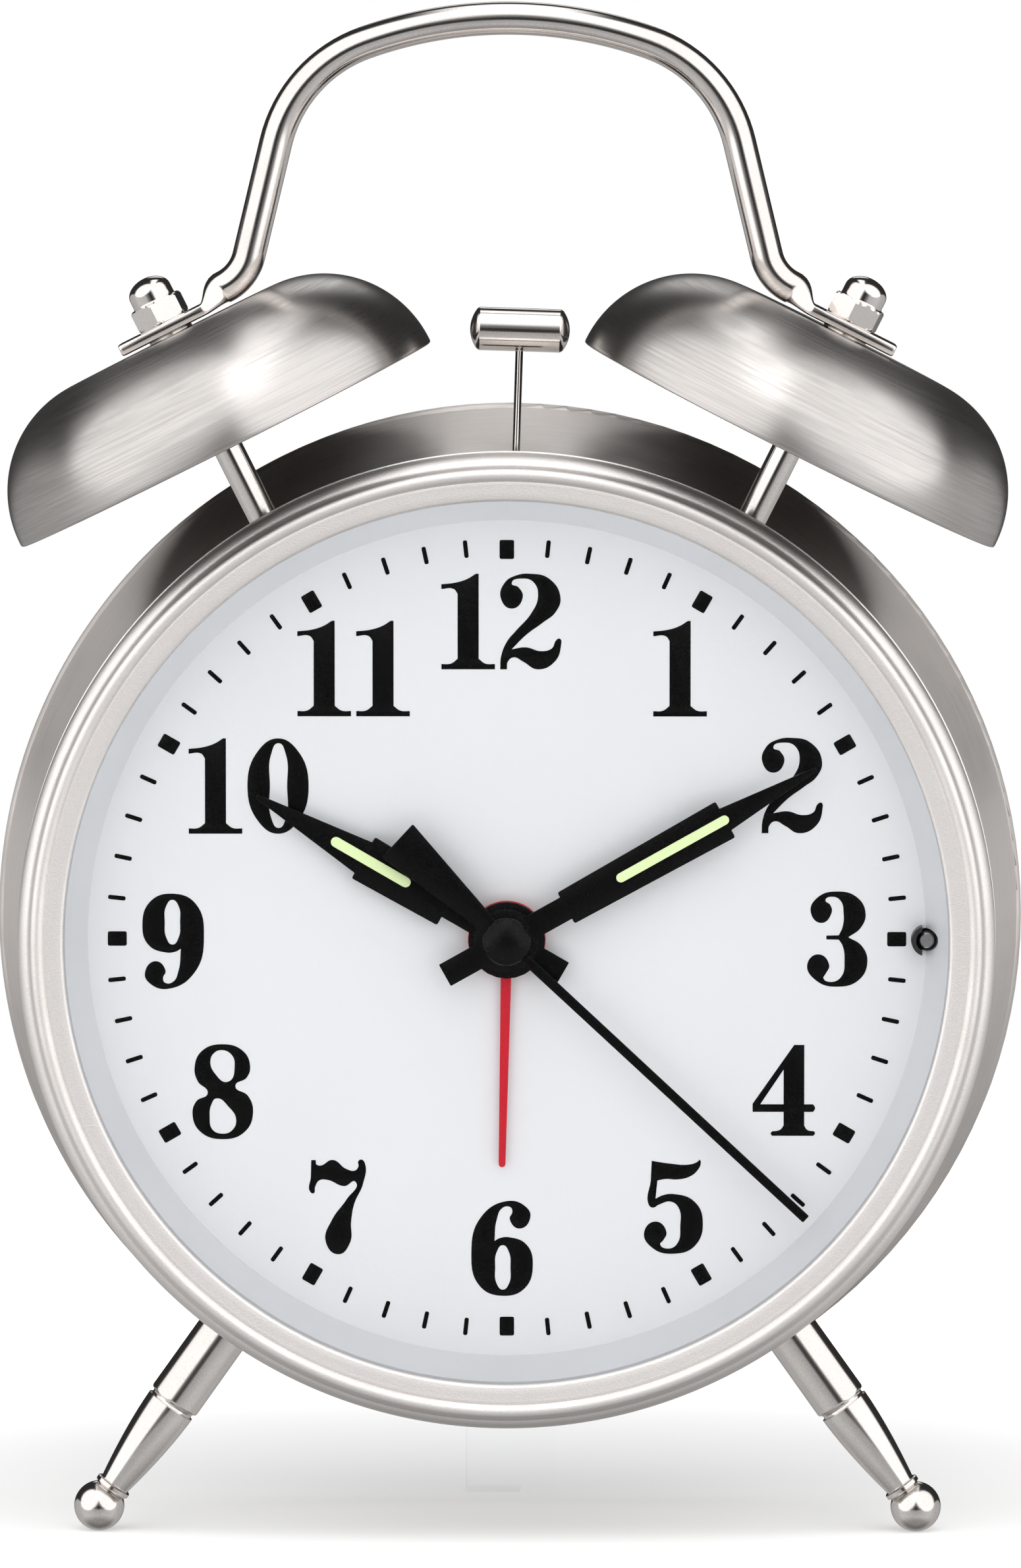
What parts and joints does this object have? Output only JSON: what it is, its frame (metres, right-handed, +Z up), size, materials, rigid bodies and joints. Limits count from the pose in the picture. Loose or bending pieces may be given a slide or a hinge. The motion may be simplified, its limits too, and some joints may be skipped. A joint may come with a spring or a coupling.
{
  "type": "twin bell alarm clock",
  "caption": "Round metal twin-bell alarm clock with a carrying handle, swinging hammer, splayed legs, white dial, glow-strip hands, and rear knobs, switch, button and battery door.",
  "frame": {"origin": "on the table under the middle of the clock's width and depth", "axes": "+X to the right as seen from the front, +Y away from the viewer (the dial faces -Y), +Z up"},
  "size_m": [0.116, 0.0594, 0.1699],
  "materials": {
    "case_nickel": "brushed nickel plate",
    "bezel_nickel": "satin nickel plate with polished edges",
    "bell_nickel": "brushed nickel plate",
    "polished_nickel": "polished nickel plate",
    "clear_glass": "clear flat glass",
    "white_plastic": "white moulded plastic",
    "dial_white": "matt white printed plate",
    "black_plastic": "fine-grained black plastic",
    "clear_plastic": "clear plastic",
    "hand_black": "semi-gloss black paint",
    "hand_red": "red paint",
    "glow_paint": "pale green glow paint",
    "cream_plastic": "moulded gear and bracket plastic",
    "brass": "turned brass",
    "steel": "plain steel",
    "copper_wire": "enamelled copper winding",
    "circuit_green": "green solder mask",
    "cell_wrap": "printed cell sleeve without lettering",
    "switch_red": "red plastic",
    "wire_red": "insulated wire"
  },
  "bodies": {
    "case": {"case_drum": "case_nickel", "bezel": "bezel_nickel", "front_glass": "clear_glass", "dial_surround": "white_plastic", "dial": "dial_white", "inner_frame": "white_plastic", "lamp_hood": "black_plastic", "lamp_bulb": "clear_glass", "leg_left": "polished_nickel", "leg_right": "polished_nickel", "rear_foot": "clear_plastic", "stud_nuts": "steel", "bell_left": "bell_nickel", "bell_right": "bell_nickel", "bell_posts": "polished_nickel", "bell_washers": "polished_nickel", "cap_nuts": "polished_nickel", "handle": "polished_nickel", "movement_plate": "black_plastic", "movement_housing": "black_plastic", "movement_screws": "steel", "stator": "steel", "step_coil": "copper_wire", "circuit_board": "circuit_green", "hammer_bracket": "cream_plastic", "hammer_pin": "steel", "magnet_core": "steel", "magnet_coil": "copper_wire", "rear_cover": "black_plastic", "cover_screws": "steel", "switch_board": "circuit_green", "battery": "cell_wrap", "contact_plus": "steel", "contact_minus": "steel", "wires": "wire_red"},
    "minute": {"minute_hand": "hand_black", "minute_glow": "glow_paint", "minute_arbor": "brass"},
    "hour": {"hour_hand": "hand_black", "hour_glow": "glow_paint", "hour_wheel": "cream_plastic"},
    "second": {"second_hand": "hand_black", "hand_cap": "hand_black", "second_arbor": "steel"},
    "alarm": {"alarm_hand": "hand_red", "alarm_wheel": "cream_plastic"},
    "time_set": {"setting_arbor": "cream_plastic", "time_knob": "black_plastic"},
    "alarm_set": {"alarm_arbor": "cream_plastic", "alarm_knob": "black_plastic"},
    "drive": {"drive_wheel": "cream_plastic"},
    "rotor": {"rotor": "steel"},
    "hammer": {"hammer_lever": "steel", "hammer_rod": "polished_nickel", "hammer_head": "polished_nickel"},
    "switch": {"alarm_switch": "switch_red"},
    "button": {"light_button": "white_plastic"},
    "door": {"battery_door": "black_plastic"}
  },
  "joints": [
    {"name": "minute_turn", "type": "hinge", "parent": "case", "child": "minute", "pos_m": [0, -0.0133, 0.0666], "axis": [0, 1, 0], "continuous": true},
    {"name": "hour_turn", "type": "hinge", "parent": "case", "child": "hour", "pos_m": [0, -0.0133, 0.0666], "axis": [0, 1, 0], "continuous": true},
    {"name": "second_turn", "type": "hinge", "parent": "case", "child": "second", "pos_m": [0, -0.0133, 0.0666], "axis": [0, 1, 0], "continuous": true},
    {"name": "alarm_turn", "type": "hinge", "parent": "case", "child": "alarm", "pos_m": [0, -0.0133, 0.0666], "axis": [0, 1, 0], "continuous": true},
    {"name": "time_knob_turn", "type": "hinge", "parent": "case", "child": "time_set", "pos_m": [-0.008, 0.02, 0.0666], "axis": [0, 1, 0], "continuous": true},
    {"name": "alarm_knob_turn", "type": "hinge", "parent": "case", "child": "alarm_set", "pos_m": [0.0084, 0.02, 0.0666], "axis": [0, 1, 0], "continuous": true},
    {"name": "drive_turn", "type": "hinge", "parent": "case", "child": "drive", "pos_m": [0, 0, 0.0726], "axis": [0, 1, 0], "continuous": true},
    {"name": "rotor_turn", "type": "hinge", "parent": "case", "child": "rotor", "pos_m": [0.00658, 0, 0.07499], "axis": [0, 1, 0], "continuous": true},
    {"name": "hammer_swing", "type": "hinge", "parent": "case", "child": "hammer", "pos_m": [0, -0.0043, 0.0913], "axis": [0, 1, 0], "range_deg": [-6.2, 2.2], "stiffness_Nm_per_rad": 0.004},
    {"name": "switch_slide", "type": "slide", "parent": "case", "child": "switch", "axis": [1, 0, 0], "range_m": [0, 0.004]},
    {"name": "button_press", "type": "slide", "parent": "case", "child": "button", "axis": [0, -1, 0], "range_m": [0, 0.0015], "stiffness_N_per_m": 400},
    {"name": "door_slide", "type": "slide", "parent": "case", "child": "door", "axis": [1, 0, 0], "range_m": [0, 0.06]}
  ],
  "couplings": [
    {"joint": "hour_turn", "follows": "minute_turn", "ratio": 0.083333},
    {"joint": "time_knob_turn", "follows": "minute_turn", "ratio": -0.33333},
    {"joint": "alarm_knob_turn", "follows": "alarm_turn", "ratio": -2},
    {"joint": "drive_turn", "follows": "rotor_turn", "ratio": -0.16667},
    {"joint": "second_turn", "follows": "rotor_turn", "ratio": 0.033333}
  ]
}
